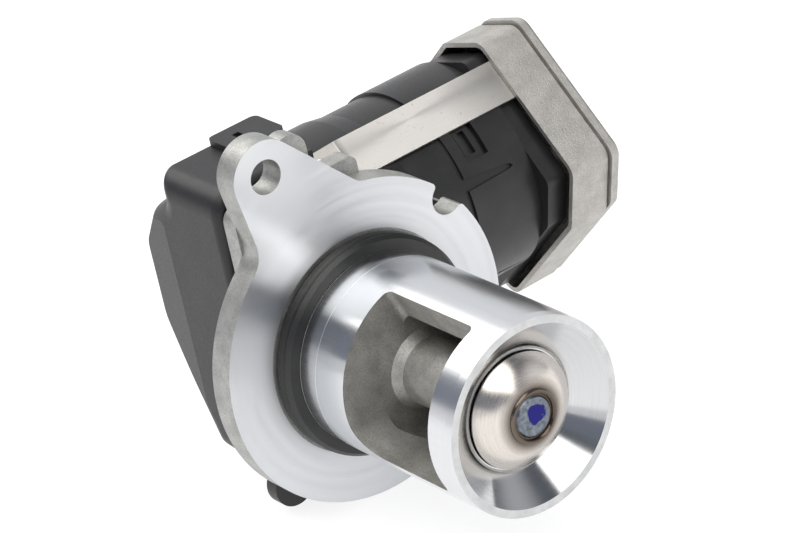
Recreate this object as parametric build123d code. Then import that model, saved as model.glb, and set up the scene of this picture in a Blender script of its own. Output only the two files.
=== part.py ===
from build123d import *
import os
from math import acos, asin, atan2, cos, degrees, hypot, pi, radians, sin, sqrt, tan

# Exhaust gas recirculation valve with an electric drive, in millimetres.
# Y is the valve axis and the poppet looks along -Y, X is the motor axis and Z points up.
# The origin lies on the valve axis, in the plane of the flange face.

# General clearances
RUN = 0.03
SEAT = 0.1
FREE = 0.3

# Flange and its ear
FLANGE_R = 33.4
FLANGE_T = 5.7
EAR_X = -14.5
EAR_REACH = 9.8
EAR_Z = FLANGE_R + EAR_REACH
EAR_R = 7.4
EAR_HOLE_R = 3.5
EAR_LEFT_LEAN = 9.4
EAR_RIGHT_SLOPE = 46.0
EAR_LEFT_FILLET = 6.0
EAR_RIGHT_FILLET = 4.0
NOTCH_R = 3.7
NOTCH_INSET = 0.9
NOTCH_POLAR = FLANGE_R - NOTCH_INSET
NOTCH_ANGLES = (39.3, -52.0)
NOTCH_LIP = 1.0

# Snout
SNOUT_R = 20.0
SNOUT_L = 51.2
NECK_R = SNOUT_R - 0.4
NECK_L = 4.35
LAND_R = SNOUT_R - 0.15
LAND_L = NECK_L + 5.09
END_BAND_L = 2.0
END_BAND_DROP = 0.12
CONE_LIP = 1.76
CONE_OUT_R = SNOUT_R - CONE_LIP
CONE_DEPTH = 4.9

# Sealing ring of the snout, with the shallow relief behind its lips
SEAL_GROOVE_R = NECK_R + 1.3
SEAL_LIP_R = SNOUT_R + 2.7
SEAL_RELIEF_R = SEAL_LIP_R + 0.4
SEAL_RELIEF_T = 0.15

# Valve, with the places along it measured back from the end of the snout
SEAT_OUT_R = 12.0
SEAT_WALL = 2.8
SEAT_IN_R = SEAT_OUT_R - SEAT_WALL
SEAT_L = 3.6
SEAT_SLOPE = 0.6
SEAT_FACE_Y = SNOUT_L - 5.0
CONE_IN_R = SEAT_OUT_R + 0.4
POPPET_R = SEAT_OUT_R - 0.38
POPPET_RIM_Y = SNOUT_L - 4.15
POPPET_BACK_R = 4.9
POPPET_GAP = 0.04
CROWN_DROP = 0.25
DOME_TOP_R = 5.6
WELD_R = 0.55
STEM_R = 3.5
STEM_FRONT = SNOUT_L - 0.2
HEAD_STEM_R = 4.15
HEAD_STEM_L = 7.5
GUIDE_OUT_R = 5.0
GUIDE_BACK = 6.0
STEM_SEAL_R = 5.2
STEM_SEAL_L = 3.5

# Gas chamber and its side window, seen along the valve axis
CHAMBER_R = SEAT_OUT_R + 1.0
CHAMBER_FRONT = SNOUT_L - 6.8
CHAMBER_BACK = 18.3
WINDOW_TOP_IN = (-2.0, CHAMBER_R - 0.2)
WINDOW_TOP_LEAN = 112.0
WINDOW_LOW_IN = (-5.4, 1.0 - CHAMBER_R)
WINDOW_LOW_LEAN = 170.0
WINDOW_CORNER = 1.5
WINDOW_BLEND = 6.5
GUIDE_BOSS_R = 6.6
GUIDE_BOSS_END = SNOUT_L - 14.2
GUIDE_BOSS_FOOT = 1.8
GUIDE_BOSS_EDGE = 0.6

# Motor and crank axes, seen along X as (y, z): the barrel clears the flange, the pin is level with the stem
BARREL_R = 22.8
BELL_R = BARREL_R + 0.7
BARREL_BACK_R = BARREL_R + 0.65
BELL_GAP = 0.8
THROW = 8.0
SWING = 44.0
PIN_R = 2.5
PIN_SLOT_GAP = 0.06
MOTOR_DROP = 0.8
MOTOR = (FLANGE_T + BELL_GAP + BELL_R, THROW - MOTOR_DROP)
CRANK = (MOTOR[0] - 7.36, THROW)

# Yoke on the stem, round the crank pin
YOKE_HALF_W = 4.0
YOKE_FRONT = CRANK[0] - 3.74
YOKE_BACK = CRANK[0] + 7.56
YOKE_LOW = CRANK[1] - THROW - 4.3
YOKE_TOP = CRANK[1] - THROW + 4.6
YOKE_SLOT_LOW = YOKE_LOW + 1.4
YOKE_SLOT_TOP = YOKE_TOP - 1.2
STEM_BACK = YOKE_FRONT + 3.1

# Return spring pocket
POCKET_R = 8.2
POCKET_FLOOR = -2.0
SPRING_MEAN_R = 6.2
SPRING_WIRE_R = 0.6
SPRING_TURNS = 5
SPRING_SEAT_Y = YOKE_FRONT - 2.9
SPRING_SEAT_R = 7.6
SPRING_SEAT_T = 1.4

# Rear of the casting
ROOT_LAP = 0.5
REAR_PLATE_T = 3.6
REAR_PLATE_LEFT = -20.5
REAR_PLATE_RIGHT = 9.5
REAR_PLATE_TOP = 36.0
REAR_PLATE_LOW = -24.5
REAR_PLATE_CORNER = 3.0
REAR_PLATE_EDGE = 2.0
JOINT_GASKET_T = 0.7
TOP_BOSS_X = -5.0
TOP_BOSS_Z = 42.3
TOP_BOSS_R = 4.0
TOP_BOSS_T = 3.3
CRADLE_X = (17.0, 29.0)
CRADLE_T = 4.0
CRADLE_LOW = -13.0
CRADLE_TOP = 17.0
NOTCH_PAD_X = 30.5
NOTCH_PAD_Z = 10.5
NOTCH_PAD_R = 6.0
NOTCH_PAD_T = 1.2

# Gear train
PRESSURE_ANGLE = 25.0
ADDENDUM = 0.9
DEDENDUM = 1.15
BACKLASH = 0.07
FINE_MODULE = 0.6
COARSE_MODULE = 0.8
PINION_TEETH = 12
WHEEL_TEETH = 36
SMALL_TEETH = 10
SECTOR_TEETH = 25
SECTOR_MARGIN = 14.0
SECTOR_HUB_R = 4.6
FINE_FACE_W = 2.8
COARSE_FACE_W = 3.3
GEAR_PIN_R = 1.5
GEAR_HUB_R = 3.0

# Places along the crank, from the bearing plate out to the cover
PLATE_T = 2.0
PLATE_X = (-7.8 - PLATE_T, -7.8)
FINE_GEAR_X = (PLATE_X[0] - 2.4 - FINE_FACE_W, PLATE_X[0] - 2.4)
COARSE_GEAR_X = (FINE_GEAR_X[0] - 0.6 - COARSE_FACE_W, FINE_GEAR_X[0] - 0.6)
ARM_X = (PLATE_X[1] + 0.4, -YOKE_HALF_W - 0.4)

# Crank shaft
SHAFT_R = 2.2
BUSH_SHAFT_R = 2.5
TIP_R = 1.8
ARM_HUB_R = 4.9
ARM_TIP_R = 3.9
CRANK_BUSH_R = 3.6
PLATE_BOSS_R = 4.6
PLATE_BOSS_T = 1.8
MAGNET_R = (4.9, 8.6)
MAGNET_HALF_ANGLE = 24.0

# Case: black cover and black gear housing
CASE_WALL = 1.8
COVER_FACE_X = COARSE_GEAR_X[0] - 0.6 - CASE_WALL
COVER_SPLIT_X = -6.5
CASE_GASKET_T = 0.5
CASE_FRONT_Y = FLANGE_T + REAR_PLATE_T + JOINT_GASKET_T
CASE_TOP_Z = 38.5
CASE_TOP_FILLET = 5.0
CASE_EDGE_FILLET = 2.3
CASE_STEP_Z = (32.6, 27.6)
CASE_STEP_EDGE = 0.8
CASE_BACK_Y = MOTOR[0] + 13.2
CASE_SHOULDER = (MOTOR[0] + 7.6, 28.4, 4.0)
CASE_BACK_CORNERS = ((CASE_BACK_Y, 19.8, 7.0), (CASE_BACK_Y, 2.0, 9.0), (MOTOR[0] + 1.2, -25.2, 3.0),
                     (CASE_FRONT_Y + 6.7, -26.6, 8.0), (CASE_FRONT_Y, -26.8, 0))
BEVEL_START_Y = MOTOR[0] + 1.0
BEVEL_DEPTH = 2.0
TIP_HOLE_X = COVER_FACE_X + 0.9
PLATE_CORNERS = ((CASE_FRONT_Y + 2.8, 24.0, 2.0), (CASE_FRONT_Y + 10.0, 24.0, 3.0),
                 (CASE_BACK_Y - 3.0, 17.0, 3.0), (CASE_BACK_Y - 3.0, 8.5, 3.0), (MOTOR[0] + 2.5, -13.0, 3.0),
                 (CASE_FRONT_Y + 9.0, -20.5, 3.0), (CASE_FRONT_Y + 2.8, -20.5, 2.0))
PLATE_HOLES = ((CASE_FRONT_Y + 5.6, 20.0), (MOTOR[0] + 7.0, 12.4), (CASE_FRONT_Y + 6.0, -16.6))
PLATE_SCREW_R = 1.25
PLATE_SCREW_HEAD_R = 2.3
PLATE_SCREW_HEAD_T = 1.6
PLATE_SCREW_END_X = -CASE_GASKET_T - 1.0
CHAMBER_Y = YOKE_BACK + 1.8
CHAMBER_LOW = YOKE_LOW - 1.3
CHAMBER_TOP = CRANK[1] + ARM_HUB_R + 0.9
CHAMBER_X = 6.0
HOUSING_STEP_X = 5.4
LUG_X = COVER_FACE_X + 3.5
LUG_Z = -27.6
LUG_ROOT_Z = -26.0
LUG_R = 4.8
LUG_T = 3.2
CASE_SCREWS = ((0.5, 21.0), (0.5, -15.5))
CASE_SCREW_SEAT_Y = CASE_FRONT_Y + 16.0
CASE_SCREW_TIP_Y = 2.5
SCREW_R = 1.9
SCREW_HEAD_R = 3.3
SCREW_HEAD_T = 2.6

# Connector socket
ROOF_T = 1.5
ROOF_Z = CASE_TOP_Z + ROOF_T
ROOF_X = (-7.3, 4.8)
ROOF_Y = (BEVEL_START_Y - 10.3, BEVEL_START_Y)
ROOF_CORNER = 1.4
LATCH_SLOT_AT = (-2.7, BEVEL_START_Y - 4.35)
LATCH_SLOT = (1.6, 1.9, 2.0)
SOCKET_X = (-4.2, 3.4)
SOCKET_Z = (28.8, 37.2)
SOCKET_FLOOR_Y = BEVEL_START_Y - 9.4
SOCKET_PLATE_T = 1.1
PIN_COUNT = 5
PIN_PITCH = 1.35
PIN_W = 0.7
PIN_Z = (SOCKET_Z[0] + SOCKET_Z[1]) / 2
PIN_TIP_Y = BEVEL_START_Y - 2.0
PIN_TURN_Y = SOCKET_FLOOR_Y - 2.0
BOARD_T = 1.2
BOARD_X = (COVER_FACE_X + 6.7, COVER_FACE_X + 6.7 + BOARD_T)
BOARD_Y = (CASE_FRONT_Y + 2.8, PIN_TIP_Y)
BOARD_Z = (14.6, 35.4)
POST_R = 1.7
POST_YZ = ((BOARD_Y[0] + 2.2, 33.0), (BOARD_Y[1] - 2.2, 33.0))

# Motor housing, from the gear housing out to the cap
SPLIT_X = 12.0
BELL_END_X = SPLIT_X + 9.0
BARREL_START_X = BELL_END_X + 4.5
BARREL_STEP_X = BARREL_START_X + 10.5
COLLAR_X = BARREL_STEP_X + 16.0
HOUSING_END_X = COLLAR_X + 5.0
COLLAR_SIDES = ((46.5, -1.8), (76.5, 0.6), (137.0, -0.7), (195.0, 2.7), (226.0, -0.3), (316.0, -2.6))
COLLAR_CORNER = 2.5
TUBE_R = BARREL_R - 4.2
RIB_COUNT = 6
RIB_W = 2.2

# Latch and slits moulded into the back of the barrel, from its step, with angles about the motor axis
LATCH_X = (2.6, 8.0)
LATCH_ANGLES = (128.0, 148.5)
LATCH_DEPTH = 0.6
HOOK_X = (2.9, 4.0)
HOOK_ANGLES = (132.5, 145.5)
HOOK_LIFT = 0.25
HOLLOW_X = (4.0, 5.8)
HOLLOW_DEPTH = 1.85
RELIEF_X = (7.1, 8.0)
RELIEF_DEPTH = 1.4
SLIT_DEPTH = 0.65
UPPER_SLIT_ANGLE = 158.3
UPPER_SLIT = ((-0.2, -1.39), (10.2, -0.25), (11.4, 0.1), (11.9, 0.7), (10.9, 1.1), (-0.2, 1.39))
LOWER_SLIT_ANGLE = 224.0
LOWER_SLIT = ((-0.2, -0.82), (15.6, 1.3), (-0.2, 0.61))

# Motor
CAN_R = TUBE_R - 1.1
CAN_T = 1.2
CAN_X = (SPLIT_X + 2.0, HOUSING_END_X - 3.0)
CAN_NECK_L = 1.5
CAN_NECK_T = 0.9
MAGNET_IN_R = CAN_R - 3.8
MAGNET_X = (CAN_X[0] + 6.0, CAN_X[1] - 10.0)
MAGNET_HALF_GAP = 4.0
CORE_R = MAGNET_IN_R - 0.5
CORE_X = (CAN_X[0] + 8.0, CAN_X[1] - 12.0)
CORE_SLOTS = 8
CORE_SLOT_W = 3.2
CORE_SLOT_R = 5.0
WINDING_R = CORE_R - 1.4
WINDING_END_L = 3.2
WINDING_NOSE_R = 9.6
WINDING_HOLE_R = 5.6
COMMUTATOR_R = 4.6
COMMUTATOR_CUT = (0.8, 0.25)
COMMUTATOR_NECK_R = 3.0
COMMUTATOR_X = (CAN_X[1] - 7.6, CAN_X[1] - 3.8)
MOTOR_SHAFT_R = 1.6
MOTOR_BUSH_R = 4.0
BRUSH_CARD_X = (CAN_X[1] - 8.0, CAN_X[1] - 0.1)
BRUSH_CARD_HUB_R = 6.6
BRUSH_REACH = 14.0
BRUSH_HALF_W = 1.6

# Strap
STRAP_ANGLE = 135.0
STRAP_IN_D = BARREL_BACK_R + 0.05
STRAP_T = 0.8
STRAP_W = 9.3
STRAP_MID_T = 6.3
STRAP_END_X = HOUSING_END_X + 3.0
STRAP_KINK_X = SPLIT_X + 3.0
STRAP_KINK = 12.0
STRAP_FRONT_X = 4.6
STRAP_PAD_X = (6.4, 11.4)
STRAP_PAD_T = 2.0
STRAP_ARM_T = 4.5
STRAP_ARM_ROOT = 15.0
STRAP_GAP = 0.35
STRAP_ROOM_DEPTH = 9.5
STRAP_SCREW_R = 1.6
STRAP_SCREW_L = 5.0
STRAP_HOLE_L = 4.5
STRAP_HEAD_R = 2.8
STRAP_HEAD_T = 1.6

# End cap, its sides and its screws given from the barrel's radius
CAP_WALL = 1.05
STRAP_SIDE = STRAP_IN_D + STRAP_T + SEAT / 2 + CAP_WALL - BARREL_R
CAP_SIDES = ((46.5, -0.5), (76.5, 3.3), (STRAP_ANGLE, STRAP_SIDE), (196.0, 5.6), (226.0, 2.6), (316.0, -1.4))
CAP_LIP_SIDES = ((46.5, -0.8), (76.5, 4.1), (STRAP_ANGLE, STRAP_SIDE + 0.8), (196.0, 6.4), (226.0, 2.3),
                 (316.0, -1.7))
CAP_CORNER = 3.5
CAP_RIM_X = HOUSING_END_X - 1.0
CAP_FACE_X = CAP_RIM_X + 10.0
CAP_LIP_X = CAP_FACE_X + 2.3
CAP_LIP_EDGE = 0.8
CAP_GROOVE = 0.5
CAP_FLOOR_T = 1.2
CAP_SEAL_R = (TUBE_R + 0.15, TUBE_R + 1.45)
CAP_SEAL_T = 0.6
CAP_SCREW_R = 1.3
CAP_SCREW_HEAD_R = CAP_SCREW_R + 1.1
CAP_SCREWS = ((BARREL_R - 0.2, 105.0), (BARREL_R, 168.0), (BARREL_R + 1.2, 268.0), (BARREL_R + 1.2, 2.0))
CAP_BOSS_R = 2.4
CAP_SCREW_SEAT = 0.5

# Long enough to cut right through anything in the part
THROUGH = 4 * FLANGE_R


def along_x(section, x0, x1):
    """Solid between two X positions from a section drawn in (y, z)."""
    return extrude(Plane.YZ.offset(x0) * section, amount=x1 - x0)


def along_y(section, y0, y1):
    """Solid between two Y positions from a section drawn in (x, z)."""
    return extrude(Plane.XZ.offset(-y1) * section, amount=y1 - y0)


def disc(radius, centre=(0.0, 0.0)):
    return Pos(*centre) * Circle(radius)


def ring(outer, inner, centre=(0.0, 0.0)):
    return disc(outer, centre) - disc(inner, centre)


def block(a_range, b_range):
    """Rectangle from two ranges."""
    width = a_range[1] - a_range[0]
    height = b_range[1] - b_range[0]
    return Pos((a_range[0] + a_range[1]) / 2, (b_range[0] + b_range[1]) / 2) * Rectangle(width, height)


def polygon(points):
    return make_face(Polyline(*points, close=True))


def rounded(corners):
    """Closed outline from corners (u, v, radius), with an arc at each corner that has a radius."""
    edges = []
    ends = []
    for i, (u, v, radius) in enumerate(corners):
        before = corners[i - 1]
        after = corners[(i + 1) % len(corners)]
        a = Vector(before[0] - u, before[1] - v).normalized()
        b = Vector(after[0] - u, after[1] - v).normalized()
        corner = Vector(u, v)
        if radius == 0:
            ends.append((corner, corner))
            continue
        half = radians(a.get_angle(b)) / 2
        reach = radius / tan(half)
        start = corner + a * reach
        end = corner + b * reach
        inward = (a + b).normalized()
        middle = corner + inward * (radius / sin(half) - radius)
        edges.append(ThreePointArc(start, middle, end))
        ends.append((start, end))
    for i, (_, end) in enumerate(ends):
        start = ends[(i + 1) % len(ends)][0]
        if (start - end).length > 1e-4:
            edges.append(Line(end, start))
    return make_face(edges)


def turned_y(points):
    """Solid of revolution about the valve axis from (radius, y) points."""
    return revolve(polygon(points), Axis.Y)


def turned_x(points, centre):
    """Solid of revolution about an axis along X from (x, radius) points."""
    return Pos(0, centre[0], centre[1]) * revolve(polygon(points), Axis.X)


def rod_x(radius, x0, x1, centre):
    return along_x(disc(radius, centre), x0, x1)


def rod_y(radius, y0, y1, centre=(0.0, 0.0)):
    return along_y(disc(radius, centre), y0, y1)


def tube_x(outer, inner, x0, x1, centre):
    return along_x(ring(outer, inner, centre), x0, x1)


def tube_y(outer, inner, y0, y1, centre=(0.0, 0.0)):
    return along_y(ring(outer, inner, centre), y0, y1)


def polar(radius, angle, centre=(0.0, 0.0)):
    return (centre[0] + radius * cos(radians(angle)), centre[1] + radius * sin(radians(angle)))


def many_sided(sides, corner, shrink=0.0):
    """Outline about the motor axis from sides given by direction and distance beyond the barrel's radius."""
    sides = sorted(sides)
    corners = []
    for i, (angle, distance) in enumerate(sides):
        next_angle, next_distance = sides[(i + 1) % len(sides)]
        a, b = radians(angle), radians(next_angle)
        d = BARREL_R + distance - shrink
        e = BARREL_R + next_distance - shrink
        across = sin(b - a)
        u = (d * sin(b) - e * sin(a)) / across
        v = (e * cos(a) - d * cos(b)) / across
        corners.append((MOTOR[0] + u, MOTOR[1] + v, corner))
    return rounded(corners)


# Gear train layout

FINE_PITCH_R = FINE_MODULE * PINION_TEETH / 2
WHEEL_PITCH_R = FINE_MODULE * WHEEL_TEETH / 2
SMALL_PITCH_R = COARSE_MODULE * SMALL_TEETH / 2
SECTOR_PITCH_R = COARSE_MODULE * SECTOR_TEETH / 2


def idler_axis():
    """Place of the intermediate gear, below the line from the motor to the crank."""
    from_motor = FINE_PITCH_R + WHEEL_PITCH_R
    from_crank = SMALL_PITCH_R + SECTOR_PITCH_R
    dy, dz = CRANK[0] - MOTOR[0], CRANK[1] - MOTOR[1]
    span = hypot(dy, dz)
    along = (from_motor ** 2 - from_crank ** 2 + span ** 2) / (2 * span)
    down = sqrt(from_motor ** 2 - along ** 2)
    return (MOTOR[0] + (along * dy - down * dz) / span, MOTOR[1] + (along * dz + down * dy) / span)


IDLER = idler_axis()


def direction(start, end):
    return degrees(atan2(end[1] - start[1], end[0] - start[0]))


def tooth(teeth, module, angle, inner_r):
    """One involute tooth, drawn from below the root circle, centred on an angle in degrees."""
    pitch_r = module * teeth / 2
    base_r = pitch_r * cos(radians(PRESSURE_ANGLE))
    tip_r = pitch_r + ADDENDUM * module
    alpha = radians(PRESSURE_ANGLE)
    half_at_pitch = pi / (2 * teeth) - BACKLASH / (2 * pitch_r)
    half_at_base = half_at_pitch + tan(alpha) - alpha

    def half_angle(radius):
        roll = acos(min(1.0, base_r / radius))
        return half_at_base - (tan(roll) - roll)

    start_r = max(base_r, pitch_r - DEDENDUM * module)
    radii = [start_r + (tip_r - start_r) * k / 3 for k in range(4)]
    flank = [(inner_r, half_angle(start_r))] + [(r, half_angle(r)) for r in radii]
    outline = flank + [(r, -h) for r, h in reversed(flank)]
    return polygon([polar(r, angle + degrees(h)) for r, h in outline])


def gear_outline(teeth, module, first_angle, span=None, bore=0.0):
    """Gear section about (0, 0), with a tooth centred on first_angle; span limits it to a sector."""
    pitch_r = module * teeth / 2
    root_r = pitch_r - DEDENDUM * module
    pitch = 360 / teeth
    section = Circle(root_r)
    if span is None:
        angles = [first_angle + k * pitch for k in range(teeth)]
    else:
        lowest = int((span[0] - first_angle) // pitch) + 1
        highest = int((span[1] - first_angle) // pitch)
        angles = [first_angle + k * pitch for k in range(lowest, highest + 1)]
        hub = Circle(SECTOR_HUB_R)
        reach = 2 * root_r
        low, high = angles[0] - pitch / 2, angles[-1] + pitch / 2
        wedge = polygon([(0, 0), polar(reach, low), polar(reach, (low + high) / 2), polar(reach, high)])
        section = hub + section.intersect(wedge).faces()[0]
    for angle in angles:
        section = section + tooth(teeth, module, angle, 0.9 * root_r)
    return section - Circle(bore) if bore else section


TO_IDLER = direction(MOTOR, IDLER)
TO_CRANK = direction(IDLER, CRANK)


# Casting

def nearest_to_axis(start, angle):
    """Point nearest to the valve axis on the line that leaves start at an angle."""
    a = radians(angle)
    return polar(-start[0] * cos(a) - start[1] * sin(a), angle, start)


def flange_outline():
    """Flange in (x, z): a disc with the ear's web blended into it and a notch on either side."""
    ear = (EAR_X, EAR_Z)
    left_normal = 180 + EAR_LEFT_LEAN
    right_normal = 90 - EAR_RIGHT_SLOPE
    left_top = polar(EAR_R, left_normal, ear)
    right_top = polar(EAR_R, right_normal, ear)
    left_foot = nearest_to_axis(left_top, left_normal + 90)
    right_foot = nearest_to_axis(right_top, right_normal - 90)
    web = polygon([left_top, left_foot, (0, 0), right_foot, right_top])
    face = Circle(FLANGE_R) + disc(EAR_R, ear) + web
    on_rim = [v for v in face.vertices() if abs(hypot(v.X, v.Y) - FLANGE_R) < 0.01]
    left = min(on_rim, key=lambda v: v.X)
    right = max(on_rim, key=lambda v: v.X)
    face = fillet(left, EAR_LEFT_FILLET)
    right = min(face.vertices(), key=lambda v: hypot(v.X - right.X, v.Y - right.Y))
    face = fillet(right, EAR_RIGHT_FILLET)
    for angle in NOTCH_ANGLES:
        centre = polar(NOTCH_POLAR, angle)
        face = face - disc(NOTCH_R, centre)
        near = face.vertices().sort_by_distance((centre[0], centre[1], 0))[0:2]
        face = fillet(near, NOTCH_LIP)
    return face


def flange():
    plate = along_y(flange_outline(), 0, FLANGE_T)
    plate = plate - rod_y(EAR_HOLE_R, -1, FLANGE_T + 1, (EAR_X, EAR_Z))
    return plate - rod_y(SEAL_RELIEF_R, -1, SEAL_RELIEF_T)


def snout_outside():
    end_r = SNOUT_R - END_BAND_DROP
    cone_y = -SNOUT_L + CONE_DEPTH
    return turned_y([(0, FLANGE_T), (NECK_R, FLANGE_T), (NECK_R, -NECK_L), (LAND_R, -NECK_L),
                     (LAND_R, -LAND_L), (SNOUT_R, -LAND_L), (SNOUT_R, -SNOUT_L + END_BAND_L),
                     (end_r, -SNOUT_L), (CONE_OUT_R, -SNOUT_L), (CONE_IN_R, cone_y), (0, cone_y)])


def gas_chamber():
    """Space round the guide boss, open to one side of the snout."""
    far = 2 * SNOUT_R
    top_out = polar(far, WINDOW_TOP_LEAN, WINDOW_TOP_IN)
    low_out = polar(far, WINDOW_LOW_LEAN, WINDOW_LOW_IN)
    outline = polygon([(0, 0), WINDOW_TOP_IN, top_out, (-far, far), low_out, WINDOW_LOW_IN])
    mouth = along_y(outline, -CHAMBER_FRONT, -CHAMBER_BACK)
    low_wall = Vector((WINDOW_LOW_IN[0] + low_out[0]) / 2, -CHAMBER_BACK, (WINDOW_LOW_IN[1] + low_out[1]) / 2)
    top_wall = Vector((WINDOW_TOP_IN[0] + top_out[0]) / 2, -CHAMBER_BACK, (WINDOW_TOP_IN[1] + top_out[1]) / 2)
    to_front = Vector(0, CHAMBER_BACK - CHAMBER_FRONT, 0)
    mouth = fillet(mouth.edges().sort_by_distance(low_wall)[0], WINDOW_BLEND)
    places = (top_wall, top_wall + to_front, low_wall + to_front)
    mouth = fillet([mouth.edges().sort_by_distance(place)[0] for place in places], WINDOW_CORNER)
    round_room = rod_y(CHAMBER_R, -CHAMBER_FRONT, -CHAMBER_BACK)
    round_room = fillet(round_room.edges().filter_by(GeomType.CIRCLE), WINDOW_CORNER)
    room = mouth + round_room
    foot_r = GUIDE_BOSS_R + GUIDE_BOSS_FOOT
    boss = turned_y([(0, 1 - CHAMBER_BACK), (foot_r, 1 - CHAMBER_BACK), (foot_r, -CHAMBER_BACK),
                     (GUIDE_BOSS_R + 0.4, -CHAMBER_BACK - GUIDE_BOSS_FOOT),
                     (GUIDE_BOSS_R, -GUIDE_BOSS_END + GUIDE_BOSS_EDGE),
                     (GUIDE_BOSS_R - GUIDE_BOSS_EDGE, -GUIDE_BOSS_END), (0, -GUIDE_BOSS_END)])
    return room - boss


def motor_cradle():
    """Two ribs behind the flange whose hollow edge carries the motor housing."""
    ribs = Part()
    for middle, hollow_r in zip(CRADLE_X, (BELL_R, BARREL_R)):
        rib = block((FLANGE_T - ROOT_LAP, MOTOR[0]), (CRADLE_LOW, CRADLE_TOP)) - disc(hollow_r + SEAT, MOTOR)
        ribs += along_x(rib, middle - CRADLE_T / 2, middle + CRADLE_T / 2)
    behind = along_y(Circle(FLANGE_R - 1.0), FLANGE_T - 0.6, MOTOR[0] / 2)
    return ribs & behind


def strap_frame(along, outward):
    """Point (y, z) given along the strap's width and out from the motor axis."""
    a = radians(STRAP_ANGLE)
    return (MOTOR[0] + outward * cos(a) + along * sin(a), MOTOR[1] + outward * sin(a) - along * cos(a))


def strap_pad_depth(x):
    """Distance of the strap's inner face from the motor axis at a place along X."""
    return STRAP_IN_D - max(0.0, STRAP_KINK_X - x) * tan(radians(STRAP_KINK))


def strap_prism(profile, half_width):
    """Solid across the strap's width from a profile in (x, distance from the motor axis)."""
    a = radians(STRAP_ANGLE)
    origin = strap_frame(STRAP_MID_T + half_width, 0.0)
    plane = Plane(origin=(0, origin[0], origin[1]), x_dir=(1, 0, 0), z_dir=(0, -sin(a), cos(a)))
    return extrude(plane * polygon(profile), amount=2 * half_width)


def strap_arm_outline():
    """Side view in (y, z) of the arm from the flange up to the strap's pad."""
    top = strap_pad_depth(STRAP_PAD_X[1]) - STRAP_PAD_T
    low_side = strap_frame(STRAP_MID_T - STRAP_W / 2, top)
    high_side = strap_frame(STRAP_MID_T + STRAP_W / 2, top)
    under = strap_frame(STRAP_MID_T + STRAP_W / 2 - 1.0, top - STRAP_ARM_T)
    root = FLANGE_T - ROOT_LAP
    return polygon([(root, high_side[1] - STRAP_ARM_ROOT), (root, low_side[1]), low_side, high_side, under])


def strap_lug():
    """Arm from the flange to the pad that the front end of the strap lies on."""
    x0, x1 = STRAP_PAD_X
    low = strap_pad_depth(x1) - STRAP_PAD_T - 1.0
    pad = strap_prism([(x0, low), (x1, low), (x1, strap_pad_depth(x1)), (x0, strap_pad_depth(x0))], STRAP_W / 2)
    return along_x(strap_arm_outline(), x0, x1) + pad


def strap_screw_plane(out):
    """Plane square to the strap's screw, facing inward, a distance out from the pad."""
    a = radians(STRAP_ANGLE)
    lean = radians(STRAP_KINK)
    x = (STRAP_PAD_X[0] + STRAP_PAD_X[1]) / 2
    y, z = strap_frame(STRAP_MID_T, strap_pad_depth(x))
    outward = Vector(-sin(lean), cos(a) * cos(lean), sin(a) * cos(lean))
    return Plane(origin=Vector(x, y, z) + outward * out, z_dir=outward * -1)


def strap_hole():
    """Screw hole square to the sloping end of the strap."""
    out = STRAP_T + 4
    return extrude(strap_screw_plane(out) * Circle(STRAP_SCREW_R), amount=out + STRAP_HOLE_L)


def rear_plate():
    left, right = REAR_PLATE_LEFT, REAR_PLATE_RIGHT
    low, top = REAR_PLATE_LOW, REAR_PLATE_TOP
    edge = REAR_PLATE_EDGE
    outline = rounded([(left, low, edge), (right, low, edge), (right, top, edge),
                       (left, top, REAR_PLATE_CORNER)])
    plate = along_y(outline, FLANGE_T - ROOT_LAP, FLANGE_T + REAR_PLATE_T)
    boss = disc(TOP_BOSS_R, (TOP_BOSS_X, TOP_BOSS_Z))
    boss = boss + block((TOP_BOSS_X - TOP_BOSS_R, TOP_BOSS_X + TOP_BOSS_R), (top - 1, TOP_BOSS_Z))
    return plate + along_y(boss, FLANGE_T - ROOT_LAP, FLANGE_T + TOP_BOSS_T)


def valve_body():
    body = flange() + snout_outside() + rear_plate() + motor_cradle() + strap_lug()
    pad = disc(NOTCH_PAD_R, (NOTCH_PAD_X, NOTCH_PAD_Z)) & Circle(FLANGE_R - 0.3)
    body = body + along_y(pad, FLANGE_T - ROOT_LAP, FLANGE_T + NOTCH_PAD_T)
    body = body - gas_chamber()
    body = body - rod_y(SEAT_OUT_R, -SEAT_FACE_Y - 2, -SEAT_FACE_Y + SEAT_L)
    body = body - rod_y(GUIDE_OUT_R, -GUIDE_BOSS_END - 1, -GUIDE_BACK)
    body = body - rod_y(STEM_SEAL_R, -GUIDE_BACK - 0.01, POCKET_FLOOR + 0.01)
    body = body - rod_y(POCKET_R, POCKET_FLOOR, FLANGE_T + REAR_PLATE_T + 1)
    for place in CASE_SCREWS:
        body = body - rod_y(SCREW_R, CASE_SCREW_TIP_Y, CASE_FRONT_Y, place)
    return body - strap_hole()


def snout_seal_ring():
    """Sealing ring with two lips in the corner of flange and snout."""
    root = NECK_R + SEAT / 2
    edge = SEAL_GROOVE_R + 1.1
    waist = SEAL_GROOVE_R + 0.9
    lip = SEAL_LIP_R
    w = NECK_L - 2 * SEAT
    y0 = -SEAT
    return turned_y([(root, y0), (edge, y0), (lip, y0 - 0.2 * w), (lip - 0.2, y0 - 0.36 * w),
                     (waist, y0 - 0.5 * w), (lip - 0.2, y0 - 0.64 * w), (lip, y0 - 0.8 * w),
                     (edge, y0 - w), (root, y0 - w)])


# Valve

def seat_ring():
    face = -SEAT_FACE_Y
    back = face + SEAT_L
    cone_in = face + (POPPET_R - SEAT_IN_R) * SEAT_SLOPE
    return turned_y([(SEAT_IN_R, back), (SEAT_OUT_R, back), (SEAT_OUT_R, face), (POPPET_R + SEAT, face),
                     (SEAT_IN_R, cone_in)])


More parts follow.
